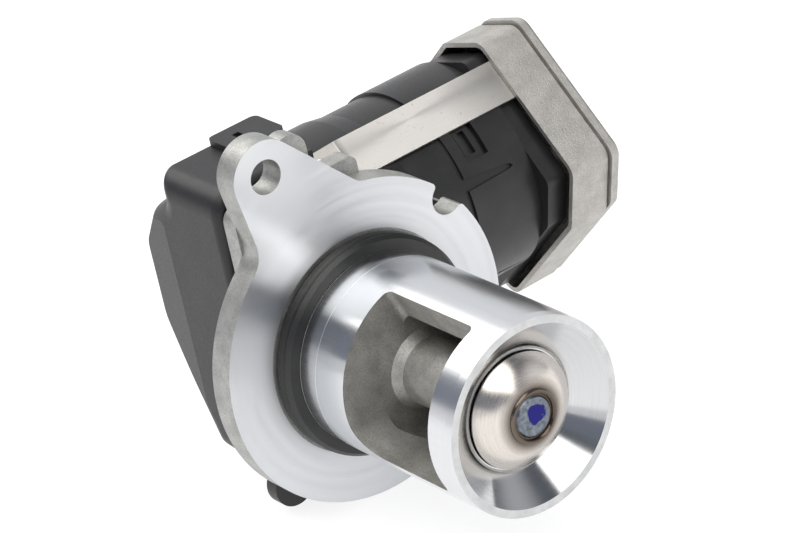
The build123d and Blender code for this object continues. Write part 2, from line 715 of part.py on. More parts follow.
def poppet():
    """Domed disc on the end of the stem, with the bead of its weld."""
    rim = -POPPET_RIM_Y
    back = HEAD_STEM_L - STEM_FRONT - 0.8
    crown = CROWN_DROP - STEM_FRONT
    seat_in = SEAT_IN_R - 0.2
    seat_y = -SEAT_FACE_Y + (POPPET_R - seat_in) * SEAT_SLOPE - POPPET_GAP
    under = Polyline((HEAD_STEM_R, back), (POPPET_BACK_R, back), (seat_in - 1.6, seat_y + 0.5),
                     (seat_in, seat_y), (POPPET_R - 0.12, rim + 0.45), (POPPET_R, rim))
    dome = ThreePointArc((POPPET_R, rim), (POPPET_R - 2.72, rim + 0.66 * (crown - rim)), (DOME_TOP_R, crown))
    top = Line((DOME_TOP_R, crown), (HEAD_STEM_R, crown))
    close = Line((HEAD_STEM_R, crown), (HEAD_STEM_R, back))
    body = revolve(make_face(under.edges() + [dome, top, close]), Axis.Y)
    bead = Pos(0, crown, 0) * Rot(90, 0, 0) * Torus(DOME_TOP_R - WELD_R, WELD_R)
    return body + (bead & rod_y(POPPET_R, crown - 2 * WELD_R, crown))


def valve_stem():
    step = -STEM_FRONT + HEAD_STEM_L
    return turned_y([(0, -STEM_FRONT), (HEAD_STEM_R - 0.3, -STEM_FRONT), (HEAD_STEM_R, -STEM_FRONT + 0.3),
                     (HEAD_STEM_R, step - 0.8), (STEM_R, step), (STEM_R, STEM_BACK), (0, STEM_BACK)])


def guide_bush():
    return tube_y(GUIDE_OUT_R, STEM_R + RUN, -GUIDE_BOSS_END, -GUIDE_BACK)


def stem_seal():
    y0 = -GUIDE_BACK + 0.3
    y1 = y0 + STEM_SEAL_L - 0.1
    lip = STEM_R + RUN
    web_y = y1 - 1.2
    return turned_y([(lip, y0), (STEM_SEAL_R, y0), (STEM_SEAL_R, y1), (lip + 1.0, y1), (lip + 1.0, web_y),
                     (lip, web_y)])


def return_spring():
    """Coil between the pocket floor and the spring seat, at its closed length."""
    start = POCKET_FLOOR + SPRING_WIRE_R + 0.05
    height = SPRING_SEAT_Y - SPRING_WIRE_R - 0.05 - start
    path = Helix(pitch=height / SPRING_TURNS, height=height, radius=SPRING_MEAN_R)
    coil = sweep(Plane(origin=path @ 0, z_dir=path % 0) * Circle(SPRING_WIRE_R), path=path)
    return Pos(0, start, 0) * Rot(-90, 0, 0) * coil


def spring_seat():
    y = SPRING_SEAT_Y
    return turned_y([(STEM_R, y), (SPRING_SEAT_R, y), (SPRING_SEAT_R, y + SPRING_SEAT_T),
                     (STEM_R + 1.6, y + SPRING_SEAT_T), (STEM_R + 1.6, YOKE_FRONT), (STEM_R, YOKE_FRONT)])


def pin_angle():
    return -90 + SWING / 2


def pin_place():
    """Crank pin with the valve closed, as (y, z)."""
    return polar(THROW, pin_angle(), CRANK)


def stem_yoke():
    pin_y = pin_place()[0]
    half = PIN_R + PIN_SLOT_GAP
    outline = rounded([(YOKE_FRONT, YOKE_LOW, 1.0), (YOKE_BACK, YOKE_LOW, 1.5),
                       (YOKE_BACK, YOKE_TOP, 1.5), (YOKE_FRONT, YOKE_TOP, 1.0)])
    round_r = half - 0.01
    slot = rounded([(pin_y - half, YOKE_SLOT_LOW, round_r), (pin_y + half, YOKE_SLOT_LOW, round_r),
                    (pin_y + half, YOKE_SLOT_TOP, round_r), (pin_y - half, YOKE_SLOT_TOP, round_r)])
    yoke = along_x(outline - slot, -YOKE_HALF_W, YOKE_HALF_W)
    return yoke - rod_y(STEM_R, YOKE_FRONT - 1, STEM_BACK)


# Crank, gears and bearing plate

def crank_shaft():
    pin = pin_place()
    gear_end = COARSE_GEAR_X[0] - 0.1
    journal_end = PLATE_X[0] - PLATE_BOSS_T - 0.1
    tip = rod_x(TIP_R, TIP_HOLE_X, gear_end, CRANK)
    shaft = rod_x(SHAFT_R, gear_end, journal_end, CRANK)
    journal = rod_x(BUSH_SHAFT_R, journal_end, ARM_X[0], CRANK)
    taper = degrees(asin((ARM_HUB_R - ARM_TIP_R) / THROW))
    a = pin_angle() + 90 - taper
    b = pin_angle() - 90 + taper
    link = disc(ARM_HUB_R, CRANK) + disc(ARM_TIP_R, pin)
    link = link + polygon([polar(ARM_HUB_R, a, CRANK), polar(ARM_HUB_R, b, CRANK),
                           polar(ARM_TIP_R, b, pin), polar(ARM_TIP_R, a, pin)])
    arm = along_x(link, *ARM_X)
    crank_pin = rod_x(PIN_R, ARM_X[1] - ROOT_LAP, YOKE_HALF_W, pin)
    return tip + shaft + journal + arm + crank_pin


def sector_gear():
    toward = direction(CRANK, IDLER)
    gap_angle = toward + 180 / SECTOR_TEETH
    span = (toward - SECTOR_MARGIN, toward + SWING + SECTOR_MARGIN)
    section = gear_outline(SECTOR_TEETH, COARSE_MODULE, gap_angle, span)
    up = toward + 180 + SWING / 2
    horn = MAGNET_R[0] / cos(radians(MAGNET_HALF_ANGLE))
    arm = polygon([(0, 0), polar(horn, up - MAGNET_HALF_ANGLE), polar(horn, up + MAGNET_HALF_ANGLE)])
    section = section + arm - Circle(SHAFT_R)
    return along_x(Pos(*CRANK) * section, *COARSE_GEAR_X)


def sensor_magnet():
    """Block on the sector's short horn that swings past the sensor."""
    up = direction(CRANK, IDLER) + 180 + SWING / 2
    inner, outer = MAGNET_R
    half_w = inner * tan(radians(MAGNET_HALF_ANGLE))
    section = Rot(0, 0, up) * block((inner, outer), (-half_w, half_w))
    return along_x(Pos(*CRANK) * section, *COARSE_GEAR_X)


def motor_pinion():
    section = gear_outline(PINION_TEETH, FINE_MODULE, TO_IDLER, bore=MOTOR_SHAFT_R)
    return along_x(Pos(*MOTOR) * section, *FINE_GEAR_X)


def intermediate_gear():
    wheel_angle = TO_IDLER + 180 + 180 / WHEEL_TEETH
    wheel = along_x(Pos(*IDLER) * gear_outline(WHEEL_TEETH, FINE_MODULE, wheel_angle), *FINE_GEAR_X)
    small = Pos(*IDLER) * gear_outline(SMALL_TEETH, COARSE_MODULE, TO_CRANK)
    small = along_x(small, COARSE_GEAR_X[0], FINE_GEAR_X[0] + 0.1)
    recess = tube_x(WHEEL_PITCH_R - 2.0, GEAR_HUB_R + 1.2, FINE_GEAR_X[1] - 0.8, FINE_GEAR_X[1] + 1, IDLER)
    hub = rod_x(GEAR_HUB_R, FINE_GEAR_X[1] - 1.0, PLATE_X[0] - SEAT, IDLER)
    gear = wheel - recess + small + hub
    return gear - rod_x(GEAR_PIN_R + RUN, -THROUGH, 0, IDLER)


def gear_pin():
    return rod_x(GEAR_PIN_R, TIP_HOLE_X, PLATE_X[1], IDLER)


def bearing_plate():
    plate = along_x(rounded(PLATE_CORNERS), *PLATE_X)
    plate = plate + rod_x(PLATE_BOSS_R, PLATE_X[0] - PLATE_BOSS_T, PLATE_X[0] + 0.1, CRANK)
    plate = plate - rod_x(CRANK_BUSH_R, -THROUGH, 0, CRANK) - rod_x(GEAR_PIN_R, -THROUGH, 0, IDLER)
    plate = plate - rod_x(MOTOR_SHAFT_R + 0.6, -THROUGH, 0, MOTOR)
    for place in PLATE_HOLES:
        plate = plate - rod_x(PLATE_SCREW_R, -THROUGH, 0, place)
    return plate


def crank_bush():
    return tube_x(CRANK_BUSH_R, BUSH_SHAFT_R + RUN, PLATE_X[0] - PLATE_BOSS_T, ARM_X[0] - SEAT, CRANK)


def plate_screws():
    screws = Part()
    for place in PLATE_HOLES:
        screws += rod_x(PLATE_SCREW_HEAD_R, PLATE_X[0] - PLATE_SCREW_HEAD_T, PLATE_X[0], place)
        screws += rod_x(PLATE_SCREW_R, PLATE_X[0], PLATE_SCREW_END_X, place)
    return screws


# Black case

def case_outline(step_z=CASE_STEP_Z[0]):
    """Case in (y, z); step_z is the height of the step behind the top block."""
    shoulder_y, shoulder_z, shoulder_r = CASE_SHOULDER
    top = [(CASE_FRONT_Y, CASE_TOP_Z, 0), (BEVEL_START_Y, CASE_TOP_Z, CASE_STEP_EDGE),
           (BEVEL_START_Y, step_z, CASE_STEP_EDGE), (shoulder_y, min(shoulder_z, step_z - 2.0), shoulder_r)]
    return rounded(top + list(CASE_BACK_CORNERS))


def case_inside():
    return offset(case_outline(), amount=-CASE_WALL, kind=Kind.INTERSECTION)


def bevel(x, start_y):
    """Wedge off the back of the cover's flat side, from a face at x."""
    outside = x - 1
    slope = polygon([(outside, start_y), (x, start_y), (x + BEVEL_DEPTH, CASE_BACK_Y + start_y - BEVEL_START_Y),
                     (outside, CASE_BACK_Y)])
    return extrude(Plane.XY.offset(-THROUGH) * slope, amount=2 * THROUGH)


def gear_cover():
    """Moulded cover: its flat side looks along -X and its back slopes inward."""
    shell = along_x(case_outline(), COVER_FACE_X, COVER_SPLIT_X)
    side = shell.faces().sort_by(Axis.X)[0]
    shell = fillet([e for e in side.edges() if e.center().Z > CASE_TOP_Z - 0.5], CASE_TOP_FILLET)
    on_front = [e for e in shell.edges() if abs(e.center().Y - CASE_FRONT_Y) < 0.1]
    shell = fillet([e for e in on_front if abs(e.center().X - COVER_FACE_X) < 0.1], CASE_EDGE_FILLET)
    shell = shell - bevel(COVER_FACE_X, BEVEL_START_Y)
    inner_x = COVER_FACE_X + CASE_WALL
    room = along_x(case_inside(), inner_x, COVER_SPLIT_X + 1)
    roof = room.faces().sort_by(Axis.X)[0].edges().sort_by(Axis.Z)[-1]
    room = fillet(roof, CASE_TOP_FILLET - CASE_WALL)
    shell = shell - (room - bevel(inner_x, BEVEL_START_Y - 1))
    for place in POST_YZ:
        shell = shell + rod_x(POST_R, inner_x - 0.3, BOARD_X[0], place)
    for place, radius in ((CRANK, TIP_R + RUN), (IDLER, GEAR_PIN_R)):
        shell = shell - rod_x(radius, TIP_HOLE_X, inner_x + 1, place)
    return shell + cover_lug() - spring_room()


def cover_lug():
    """Round tab under the cover."""
    left = LUG_X - LUG_R + 1.3
    right = LUG_X + LUG_R
    neck = polygon([(left, LUG_Z), (left, LUG_ROOT_Z), (right, LUG_ROOT_Z), (right, LUG_Z)])
    return along_y(disc(LUG_R, (LUG_X, LUG_Z)) + neck, CASE_FRONT_Y, CASE_FRONT_Y + LUG_T)


def cover_gasket():
    rim = case_outline() - offset(case_outline(), amount=-CASE_WALL + 0.2, kind=Kind.INTERSECTION)
    return along_x(rim, COVER_SPLIT_X, COVER_SPLIT_X + CASE_GASKET_T) - spring_room()


def spring_room():
    """Hole in the front of the case for the spring and its seat."""
    return rod_y(POCKET_R, CASE_FRONT_Y - 1, YOKE_FRONT + 1.0)


def pin_paths():
    """Bent contact pins: one straight length along Y and one along X, nested."""
    middle = (SOCKET_X[0] + SOCKET_X[1]) / 2
    first = middle - PIN_PITCH * (PIN_COUNT - 1) / 2
    for k in range(PIN_COUNT):
        x = first + k * PIN_PITCH
        turn = PIN_TURN_Y - k * PIN_PITCH
        yield x, turn


def connector_pins(grow=0.0):
    pins = Part()
    h = PIN_W / 2 + grow
    for x, turn in pin_paths():
        leg = block((x - h, x + h), (turn - h, PIN_TIP_Y + grow))
        foot = block((BOARD_X[1], x + h), (turn - h, turn + h))
        pins += extrude(Plane.XY.offset(PIN_Z - h) * (leg + foot), amount=2 * h)
    return pins


def housing_face_x():
    return COVER_SPLIT_X + CASE_GASKET_T


def housing_roof():
    """Plate over the connector with the small slot for the plug's latch."""
    left, right = ROOF_X
    front, back = ROOF_Y
    corners = ((left, front), (right, front), (right, back), (left, back))
    outline = rounded([(x, y, ROOF_CORNER) for x, y in corners])
    roof = extrude(Plane.XY.offset(ROOF_Z - ROOF_T) * outline, amount=ROOF_T)
    return roof - Pos(*LATCH_SLOT_AT, ROOF_Z) * Box(*LATCH_SLOT)


def gear_housing():
    """Black housing between the cover and the motor, open towards the valve."""
    x0 = housing_face_x()
    body = along_x(case_outline(), x0, x0 + SOCKET_PLATE_T)
    body = body + along_x(case_outline(CASE_STEP_Z[1]), x0, HOUSING_STEP_X)
    bell = disc(BELL_R, MOTOR) & block((CASE_FRONT_Y, THROUGH), (-THROUGH, THROUGH))
    body = body + along_x(bell, HOUSING_STEP_X - ROOT_LAP, SPLIT_X) + housing_roof()
    for place in PLATE_HOLES:
        body = body + rod_x(PLATE_SCREW_R + 1.7, PLATE_X[1], x0 + 0.2, place)
    chamber = block((CASE_FRONT_Y - 1, CHAMBER_Y), (CHAMBER_LOW, CHAMBER_TOP))
    body = body - along_x(chamber, x0 - 1, CHAMBER_X)
    body = body - spring_room()
    body = body - rod_x(MOTOR_BUSH_R + 1.0, CHAMBER_X - 1, SPLIT_X + 1, MOTOR)
    body = body - socket_room()
    body = body - connector_pins()
    body = body - strap_channel()
    for place in PLATE_HOLES:
        body = body - rod_x(PLATE_SCREW_R, PLATE_X[1] - 1, PLATE_SCREW_END_X, place)
    for place in CASE_SCREWS:
        body = body - rod_y(SCREW_R + SEAT, CASE_FRONT_Y - 1, CASE_SCREW_SEAT_Y, place)
        body = body - rod_y(SCREW_HEAD_R + FREE, CASE_SCREW_SEAT_Y, THROUGH, place)
    return body


def socket_room():
    """Space for the plug, open along +Y."""
    return along_y(block(SOCKET_X, SOCKET_Z), SOCKET_FLOOR_Y, THROUGH)


def strap_channel():
    """Room for the sloping front end of the strap and for the arm below it."""
    half = STRAP_W / 2 + STRAP_GAP
    x0, x1 = STRAP_FRONT_X - 1.5, STRAP_KINK_X + 2.0
    floor = STRAP_IN_D - STRAP_GAP
    channel = strap_prism([(x0, strap_pad_depth(x0) - STRAP_GAP), (STRAP_KINK_X, floor), (x1, floor),
                           (x1, THROUGH), (x0, THROUGH)], half)
    low_x, high_x = STRAP_PAD_X[0] - STRAP_GAP, STRAP_PAD_X[1] + STRAP_GAP
    arm_outline = offset(strap_arm_outline(), amount=STRAP_GAP, kind=Kind.INTERSECTION)
    pad_floor = STRAP_IN_D - STRAP_ROOM_DEPTH
    pad = strap_prism([(low_x, pad_floor), (high_x, pad_floor), (high_x, THROUGH), (low_x, THROUGH)], half)
    return channel + along_x(arm_outline, low_x, high_x) + pad


def housing_gasket():
    y0 = FLANGE_T + REAR_PLATE_T
    sheet = block((REAR_PLATE_LEFT + 1.0, STRAP_PAD_X[0] - FREE), (REAR_PLATE_LOW + 1.0, REAR_PLATE_TOP - 1.0))
    sheet = sheet - disc(POCKET_R)
    for place in CASE_SCREWS:
        sheet = sheet - disc(SCREW_R + SEAT, place)
    return along_y(sheet, y0, y0 + JOINT_GASKET_T)


def housing_screws():
    screws = Part()
    for place in CASE_SCREWS:
        screws += rod_y(SCREW_R, CASE_SCREW_TIP_Y, CASE_SCREW_SEAT_Y, place)
        screws += rod_y(SCREW_HEAD_R, CASE_SCREW_SEAT_Y, CASE_SCREW_SEAT_Y + SCREW_HEAD_T, place)
    return screws


def sensor_board():
    return along_x(block(BOARD_Y, BOARD_Z), *BOARD_X)


# Motor

def motor_housing():
    """Barrel with a plain back half, a many-sided collar for the cap and ribs that hold the can."""
    barrel = turned_x([(SPLIT_X, 0), (SPLIT_X, BELL_R), (BELL_END_X, BELL_R), (BARREL_START_X, BARREL_R),
                       (BARREL_STEP_X, BARREL_R), (BARREL_STEP_X, BARREL_BACK_R), (COLLAR_X, BARREL_BACK_R),
                       (COLLAR_X, 0)], MOTOR)
    body = barrel + along_x(many_sided(COLLAR_SIDES, COLLAR_CORNER), COLLAR_X, HOUSING_END_X)
    bore = rod_x(TUBE_R, CAN_X[0], HOUSING_END_X + 1, MOTOR)
    for k in range(RIB_COUNT):
        angle = 30 + k * 360 / RIB_COUNT
        rib = Pos(*MOTOR) * Rot(0, 0, angle) * block((CAN_R + 0.05, TUBE_R + 1), (-RIB_W / 2, RIB_W / 2))
        bore = bore - along_x(rib, CAN_X[0], CAN_X[1] - 4)
    body = body - bore - rod_x(MOTOR_BUSH_R + 1.0, SPLIT_X - 1, CAN_X[0] + 1, MOTOR)
    for radius, angle in CAP_SCREWS:
        body = body - rod_x(CAP_SCREW_R, COLLAR_X + 0.4, HOUSING_END_X + 1, polar(radius, angle, MOTOR))
    body = body - barrel_slit(UPPER_SLIT_ANGLE, UPPER_SLIT) - barrel_slit(LOWER_SLIT_ANGLE, LOWER_SLIT)
    return body - barrel_latch() - strap_channel()


def barrel_recess(x_range, angles, depth):
    """Cut into the back of the barrel, by place behind its step and direction about the motor axis."""
    low, high = angles
    reach = 2 * BARREL_BACK_R
    wedge = polygon([(0, 0), polar(reach, low), polar(reach, (low + high) / 2), polar(reach, high)])
    start, end = (BARREL_STEP_X + x for x in x_range)
    return along_x(Pos(*MOTOR) * (wedge - Circle(BARREL_BACK_R - depth)), start, end)


def barrel_latch():
    """Window beside the strap with a hook across it, a hollow behind the hook and a relief slot."""
    window = barrel_recess(LATCH_X, LATCH_ANGLES, LATCH_DEPTH)
    hook = barrel_recess(HOOK_X, HOOK_ANGLES, LATCH_DEPTH)
    hook = hook - barrel_recess(HOOK_X, HOOK_ANGLES, LATCH_DEPTH - HOOK_LIFT)
    hollow = barrel_recess(HOLLOW_X, HOOK_ANGLES, HOLLOW_DEPTH)
    relief = barrel_recess(RELIEF_X, LATCH_ANGLES, RELIEF_DEPTH)
    return window - hook + hollow + relief


def barrel_slit(angle, outline):
    """Shallow cut drawn in (place behind the step, distance round the barrel) about one direction."""
    a = radians(angle)
    y, z = polar(BARREL_BACK_R - SLIT_DEPTH, angle, MOTOR)
    plane = Plane(origin=(0, y, z), x_dir=(1, 0, 0), z_dir=(0, cos(a), sin(a)))
    corners = [(BARREL_STEP_X + x, -t) for x, t in outline]
    return extrude(plane * polygon(corners), amount=2 * SLIT_DEPTH)


def motor_can():
    x0, x1 = CAN_X
    neck_x = x0 - CAN_NECK_L
    neck_r = MOTOR_BUSH_R + CAN_NECK_T
    inner_r = CAN_R - CAN_T
    return turned_x([(neck_x, MOTOR_BUSH_R), (neck_x, neck_r), (x0, neck_r), (x0, CAN_R), (x1, CAN_R),
                     (x1, inner_r), (x0 + CAN_T, inner_r), (x0 + CAN_T, MOTOR_BUSH_R)], MOTOR)


def motor_magnets():
    gap = block((-CAN_R, CAN_R), (-MAGNET_HALF_GAP, MAGNET_HALF_GAP))
    return along_x(Pos(*MOTOR) * (ring(CAN_R - CAN_T, MAGNET_IN_R) - gap), *MAGNET_X)


def rotor_core():
    section = ring(CORE_R, MOTOR_SHAFT_R)
    for k in range(CORE_SLOTS):
        slot = block((CORE_SLOT_R, CORE_R + 1), (-CORE_SLOT_W / 2, CORE_SLOT_W / 2))
        section = section - Rot(0, 0, k * 360 / CORE_SLOTS) * slot
    return along_x(Pos(*MOTOR) * section, *CORE_X)


def rotor_windings():
    """Copper in the slots of the core and round both of its ends."""
    half = CORE_SLOT_W / 2 - 0.1
    coils = Part()
    for k in range(CORE_SLOTS):
        bar = Rot(0, 0, k * 360 / CORE_SLOTS) * block((CORE_SLOT_R + 0.1, WINDING_R), (-half, half))
        coils += along_x(Pos(*MOTOR) * bar, CORE_X[0] - 1, CORE_X[1] + 1)
    for face, way in zip(CORE_X, (-1, 1)):
        nose = face + way * WINDING_END_L
        coils += turned_x([(face, WINDING_HOLE_R - 1.0), (face, WINDING_R), ((face + nose) / 2, WINDING_R),
                           (nose, WINDING_NOSE_R), (nose, WINDING_HOLE_R)], MOTOR)
    return coils


def motor_shaft():
    return rod_x(MOTOR_SHAFT_R, FINE_GEAR_X[0], BRUSH_CARD_X[1] - 0.4, MOTOR)


def commutator():
    depth, half_w = COMMUTATOR_CUT
    section = ring(COMMUTATOR_R, MOTOR_SHAFT_R)
    for k in range(CORE_SLOTS):
        cut = block((COMMUTATOR_R - depth, COMMUTATOR_R + 1), (-half_w, half_w))
        section = section - Rot(0, 0, (k + 0.5) * 360 / CORE_SLOTS) * cut
    neck = tube_x(COMMUTATOR_NECK_R, MOTOR_SHAFT_R, CORE_X[1], COMMUTATOR_X[0], MOTOR)
    return along_x(Pos(*MOTOR) * section, *COMMUTATOR_X) + neck


def brush_card():
    """Round card with a hub for the rear bush and two brush holders."""
    x0, x1 = BRUSH_CARD_X
    card = tube_x(CAN_R - CAN_T - 0.05, BRUSH_CARD_HUB_R - 0.2, x0 + 3.4, x0 + 5.0, MOTOR)
    card = card + tube_x(BRUSH_CARD_HUB_R, MOTOR_BUSH_R, x0 + 4.9, x1, MOTOR)
    for side in (0, 180):
        holder = block((COMMUTATOR_R + 0.06, BRUSH_REACH), (-BRUSH_HALF_W, BRUSH_HALF_W))
        card = card + along_x(Pos(*MOTOR) * Rot(0, 0, side) * holder, x0 + 0.8, x0 + 4.0)
    return card


def motor_bush(x0, x1):
    return tube_x(MOTOR_BUSH_R, MOTOR_SHAFT_R + RUN, x0, x1, MOTOR)


# End cap, screws and strap

def end_cap():
    """Cast cap: a hollow box with a groove and a lip, and a round rim that presses the seal."""
    side = many_sided(CAP_SIDES, CAP_CORNER)
    lip = many_sided(CAP_LIP_SIDES, CAP_CORNER)
    waist = many_sided(CAP_SIDES, CAP_CORNER, shrink=CAP_GROOVE)
    inside = many_sided(CAP_SIDES, CAP_CORNER - CAP_WALL, shrink=CAP_WALL)
    cap = along_x(side, CAP_RIM_X, CAP_FACE_X - 0.4) + along_x(waist, CAP_FACE_X - 0.6, CAP_FACE_X + 0.2)
    plate = along_x(lip, CAP_FACE_X, CAP_LIP_X)
    cap = cap + fillet(plate.faces().sort_by(Axis.X)[-1].edges(), CAP_LIP_EDGE)
    room = along_x(inside, CAP_RIM_X - 1, CAP_FACE_X - CAP_FLOOR_T)
    rim = tube_x(CAP_SEAL_R[1] + 0.4, CAP_SEAL_R[0] - 0.1, HOUSING_END_X + CAP_SEAL_T, CAP_FACE_X, MOTOR)
    cap = cap - (room - rim)
    for radius, angle in CAP_SCREWS:
        place = polar(radius, angle, MOTOR)
        boss = rod_x(CAP_BOSS_R, HOUSING_END_X + SEAT, CAP_FACE_X, place)
        cap = cap + (boss & along_x(side, CAP_RIM_X, CAP_LIP_X))
        cap = cap - rod_x(CAP_SCREW_R, CAP_RIM_X, CAP_LIP_X + 1, place)
        cap = cap - rod_x(CAP_SCREW_HEAD_R + 0.15, CAP_FACE_X + CAP_SCREW_SEAT, CAP_LIP_X + 1, place)
    return cap


def cap_seal():
    return tube_x(CAP_SEAL_R[1], CAP_SEAL_R[0], HOUSING_END_X, HOUSING_END_X + CAP_SEAL_T, MOTOR)


def cap_screws():
    screws = Part()
    for radius, angle in CAP_SCREWS:
        place = polar(radius, angle, MOTOR)
        screws += rod_x(CAP_SCREW_R, COLLAR_X + 0.5, CAP_FACE_X + CAP_SCREW_SEAT + 0.1, place)
        screws += rod_x(CAP_SCREW_HEAD_R, CAP_FACE_X + CAP_SCREW_SEAT, CAP_LIP_X - 0.2, place)
    return screws


def retaining_strap():
    """Steel band along the motor, bent towards the casting at its front end."""
    end = STRAP_IN_D
    front = strap_pad_depth(STRAP_FRONT_X)
    lift = STRAP_T / cos(radians(STRAP_KINK))
    bend = STRAP_T * tan(radians(STRAP_KINK) / 2)
    profile = [(STRAP_FRONT_X, front), (STRAP_KINK_X, end), (STRAP_END_X, end), (STRAP_END_X, end + STRAP_T),
               (STRAP_KINK_X - bend, end + STRAP_T), (STRAP_FRONT_X, front + lift)]
    return strap_prism(profile, STRAP_W / 2) - strap_hole()


def strap_screw():
    seat = strap_screw_plane(STRAP_T)
    head = extrude(seat * Circle(STRAP_HEAD_R), amount=-STRAP_HEAD_T)
    return head + extrude(seat * Circle(STRAP_SCREW_R), amount=STRAP_SCREW_L)


PARTS = {
    "valve_body": valve_body,
    "snout_seal_ring": snout_seal_ring,
    "seat_ring": seat_ring,
    "poppet": poppet,
    "valve_stem": valve_stem,
    "guide_bush": guide_bush,
    "stem_seal": stem_seal,
    "return_spring": return_spring,
    "spring_seat": spring_seat,
    "stem_yoke": stem_yoke,
    "crank_shaft": crank_shaft,
    "sector_gear": sector_gear,
    "sensor_magnet": sensor_magnet,
    "intermediate_gear": intermediate_gear,
    "gear_pin": gear_pin,
    "bearing_plate": bearing_plate,
    "crank_bush": crank_bush,
    "plate_screws": plate_screws,
    "motor_pinion": motor_pinion,
    "motor_can": motor_can,
    "motor_magnets": motor_magnets,
    "rotor_core": rotor_core,
    "rotor_windings": rotor_windings,
    "motor_shaft": motor_shaft,
    "commutator": commutator,
    "brush_card": brush_card,
    "motor_front_bush": lambda: motor_bush(CAN_X[0] - 1.5, CAN_X[0] + CAN_T + 1.0),
    "motor_rear_bush": lambda: motor_bush(BRUSH_CARD_X[1] - 3.0, BRUSH_CARD_X[1]),
    "gear_cover": gear_cover,
    "cover_gasket": cover_gasket,
    "gear_housing": gear_housing,
    "housing_gasket": housing_gasket,
    "housing_screws": housing_screws,
    "sensor_board": sensor_board,
    "connector_pins": connector_pins,
    "motor_housing": motor_housing,
    "end_cap": end_cap,
    "cap_seal": cap_seal,
    "cap_screws": cap_screws,
    "retaining_strap": retaining_strap,
    "strap_screw": strap_screw,
}

os.makedirs("parts", exist_ok=True)
for name, make in PARTS.items():
    export_step(make(), f"parts/{name}.step")
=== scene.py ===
import math

import bpy
import bmesh
from mathutils import Matrix, Vector


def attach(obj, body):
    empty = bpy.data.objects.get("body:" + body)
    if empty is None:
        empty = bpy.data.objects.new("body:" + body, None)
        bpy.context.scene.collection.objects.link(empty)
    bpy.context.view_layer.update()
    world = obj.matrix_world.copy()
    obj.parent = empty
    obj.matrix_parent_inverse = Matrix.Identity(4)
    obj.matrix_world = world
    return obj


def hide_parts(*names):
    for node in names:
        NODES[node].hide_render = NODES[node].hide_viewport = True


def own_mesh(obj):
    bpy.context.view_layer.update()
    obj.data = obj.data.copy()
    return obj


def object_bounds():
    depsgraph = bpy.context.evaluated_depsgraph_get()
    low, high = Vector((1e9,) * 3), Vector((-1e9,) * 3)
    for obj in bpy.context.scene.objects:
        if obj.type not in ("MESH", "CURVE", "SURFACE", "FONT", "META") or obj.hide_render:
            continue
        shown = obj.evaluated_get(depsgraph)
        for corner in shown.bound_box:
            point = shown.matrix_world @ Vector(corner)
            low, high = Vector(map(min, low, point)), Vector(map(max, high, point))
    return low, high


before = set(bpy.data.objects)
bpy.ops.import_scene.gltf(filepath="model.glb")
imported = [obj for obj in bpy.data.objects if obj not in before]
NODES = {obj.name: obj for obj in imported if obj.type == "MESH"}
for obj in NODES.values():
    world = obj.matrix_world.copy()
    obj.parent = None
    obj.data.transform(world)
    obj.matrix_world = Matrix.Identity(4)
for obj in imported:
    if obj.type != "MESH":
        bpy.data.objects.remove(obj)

MM = 0.001
CAD_BOX = [list(corner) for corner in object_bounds()]

# Camera, fitted to the turned circles of the photograph
CAMERA_AT = (-0.3225, -0.5146, 0.3262)
CAMERA_RIGHT = (0.7690, -0.6117, -0.1857)
CAMERA_UP = (0.4179, 0.2612, 0.8701)
CAMERA_BACK = (-0.4838, -0.7467, 0.4565)
CAMERA_LENS = 157.5

# Places in the frame, in millimetres
SNOUT_R = 20.0
SNOUT_END = -51.2
# Places along the snout of the step edges of its land, where thin painted highlights go round it
SNOUT_GLINT_EDGES = (-4.35, -9.44)
CONE_IN_R = 12.4
CONE_TOP_Y = -46.0
CHAMBER_Y = (-44.5, -18.2)
HEAT_R = (4.4, 8.0)
STEM_END_Y = (-50.4, -50.8)
DOT_AT = (0.5, 0.3)
DOT_R = (2.3, 2.0)
DOT_WOBBLE = 2.2
# Stretches of the strap where painted shade darkens it: towards the cap end and towards its bend near
# the flange
STRAP_PAINTED_SHADE_X = ((40.0, 60.0), (16.5, 14.5))

# Floor, with its sizes in millimetres
FLOOR_HALF = 3000.0
FLOOR_GAP = 0.5
FLOOR_GLOW = 0.82

# Studio. A turn is an angle round the valve axis in degrees, that of the direction halfway between
# a light and the camera: a turned face mirrors the light at that angle.
DIM_WALL = (0.12, 0.13, 0.15)

# Pale wall behind the part, between two turns, with their soft edges and the depth where it fades in
REAR_WALL = (0.86, 0.87, 0.89)
REAR_TURNS = (-60.0, 97.0)
REAR_SOFT = (15.0, 2.0)
REAR_DEPTH = (0.10, 0.45)

# Small card at the right, fading between two angles from its direction
FILL_CARD = (0.80, 0.80, 0.82)
FILL_TOWARD = (0.76, -0.64, 0.08)
FILL_FADE = (30.0, 12.0)

# Darker stretch beside the long soft box
SIDE_WALL = (0.20, 0.22, 0.27)
SIDE_TURNS = (134.0, 151.0)
SIDE_SOFT = (6.0, 1.5)

# Card at the left: turns where it begins and where it is full, at its upper and lower end
LEFT_CARD = (0.85, 0.85, 0.87)
LEFT_EDGES = ((150.5, 152.0), (-100.0, -115.0))

# Long soft box: it widens with height, and it ends at the horizon
KEY_COLOUR = (1.0, 0.99, 0.97)
KEY_LEVEL = 2.6
KEY_TURN = 115.0
KEY_HALF_WIDTH = (7.0, 19.0)
KEY_HEIGHTS = (0.20, 0.60)
KEY_SOFT = 3.0
KEY_FOOT = (0.0, 0.1)


def new_material(name):
    material = bpy.data.materials.new(name)
    material.use_nodes = True
    material.node_tree.nodes.clear()
    return material


